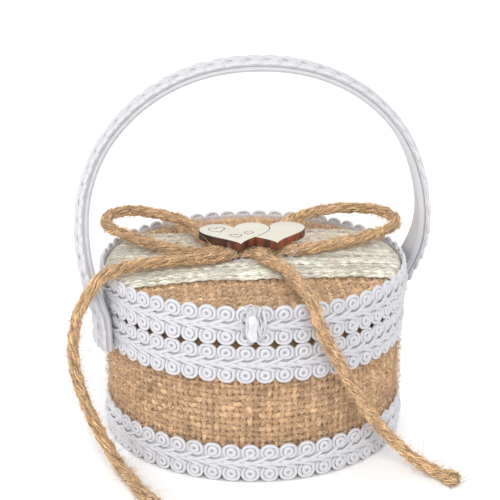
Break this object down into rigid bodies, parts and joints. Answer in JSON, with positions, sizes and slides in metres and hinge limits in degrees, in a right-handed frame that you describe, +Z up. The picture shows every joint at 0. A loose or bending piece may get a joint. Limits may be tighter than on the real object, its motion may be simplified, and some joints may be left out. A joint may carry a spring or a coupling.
{
  "type": "ring bearer pillow",
  "caption": "Small round burlap ring bearer pillow: closed drum with gimp braid trim, hoop handle, twine bow and double-heart charm.",
  "frame": {"origin": "centre of the drum's flat underside, on the surface that it stands on", "axes": "+Z up the drum's axis; the hoop handle and the cream ribbon run along X; -Y is the front, where the twine tails hang"},
  "size_m": [0.1246, 0.1209, 0.1289],
  "materials": {
    "natural_burlap": "coarse natural jute burlap, plain weave of about 2 mm pitch, matt",
    "cream_burlap": "cream burlap ribbon, 50 mm wide, matt",
    "white_gimp": "white scalloped gimp braid of soft shiny cord",
    "white_ribbon": "smooth white ribbon over a stiff strip",
    "paperboard": "grey-brown paperboard, hidden",
    "wadding": "thin white wadding, hidden",
    "plywood": "pale laser-cut plywood with burnt brown edges",
    "jute_twine": "three-ply hairy jute twine, matt",
    "hot_glue": "milky set hot-melt glue"
  },
  "bodies": {
    "root": {"drum_wall": "paperboard", "base_board": "paperboard", "top_board": "paperboard", "top_pad": "wadding", "base_cover": "natural_burlap", "wall_cover": "natural_burlap", "top_cover": "natural_burlap", "cream_ribbon": "cream_burlap", "upper_gimp_band": "white_gimp", "middle_gimp_band": "white_gimp", "lower_gimp_band": "white_gimp", "handle_gimp": "white_gimp", "handle_strip": "white_ribbon", "joint_glue": "hot_glue", "heart_charm": "plywood", "bow_knot": "jute_twine", "left_loop": "jute_twine", "right_loop": "jute_twine", "left_tail": "jute_twine", "right_tail": "jute_twine"}
  },
  "joints": []
}
